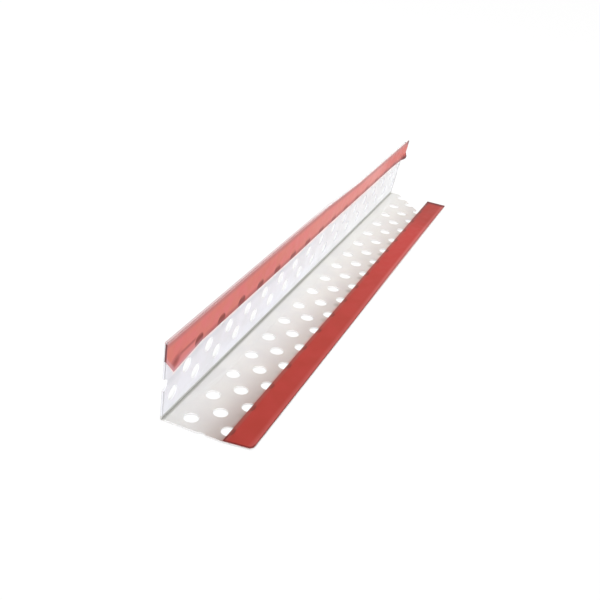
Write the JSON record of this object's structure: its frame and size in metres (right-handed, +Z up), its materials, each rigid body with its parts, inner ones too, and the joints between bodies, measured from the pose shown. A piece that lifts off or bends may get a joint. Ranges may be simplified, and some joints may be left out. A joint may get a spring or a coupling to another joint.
{
  "type": "corner guard moulding",
  "caption": "Short length of thin white plastic angle with staggered round perforations and red tape along both inner edges, for guarding a wall corner.",
  "frame": {"origin": "middle of the bounding box, on the surface that the base leg lies on", "axes": "+Y along the corner towards the torn end, +X across the base leg away from the corner, +Z up"},
  "size_m": [0.0258, 0.2104, 0.0258],
  "materials": {
    "white_plastic": "smooth extruded plastic with a soft satin sheen",
    "red_film": "thin red liner film over a sticky backing"
  },
  "bodies": {
    "root": {"perforated_angle": "white_plastic", "base_tape": "red_film", "upright_tape": "red_film"}
  },
  "joints": []
}
